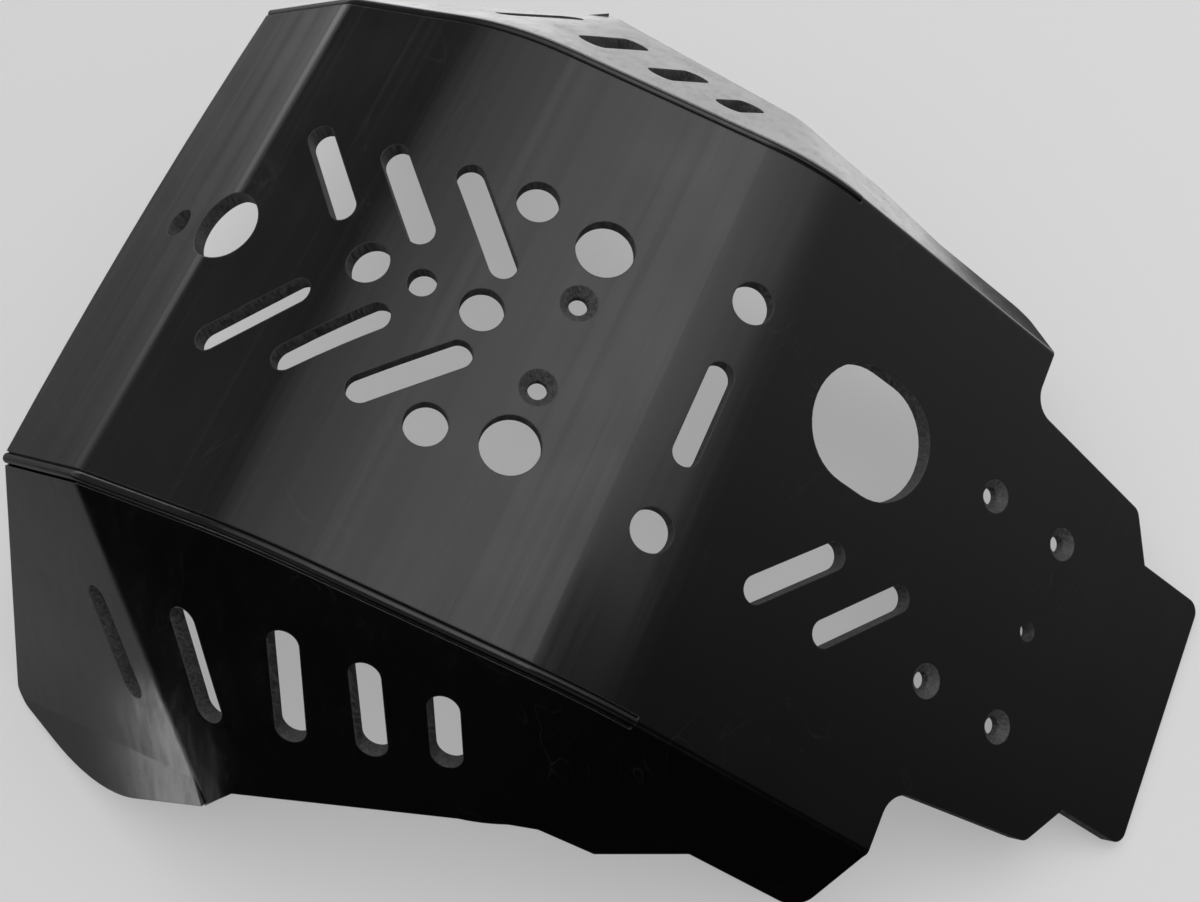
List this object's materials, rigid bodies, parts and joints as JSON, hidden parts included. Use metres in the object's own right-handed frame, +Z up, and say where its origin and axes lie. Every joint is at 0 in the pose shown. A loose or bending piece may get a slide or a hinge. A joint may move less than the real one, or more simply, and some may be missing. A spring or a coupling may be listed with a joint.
{
  "type": "motorcycle skid plate",
  "caption": "Folded plastic skid plate for an off-road motorcycle, with welded side wings, slots, an oil drain opening and countersunk screw holes.",
  "frame": {"origin": "centre of the bounding box at its base, where the plate lies on its tail edge and its two nose corners", "axes": "+X towards the tail of the plate, +Y across it towards the side with the oil drain opening, +Z up, out of the outer face as it lies"},
  "size_m": [0.433, 0.3838, 0.1673],
  "materials": {
    "black_polyethylene": "satin"
  },
  "bodies": {
    "root": {"skid_plate": "black_polyethylene"}
  },
  "joints": []
}
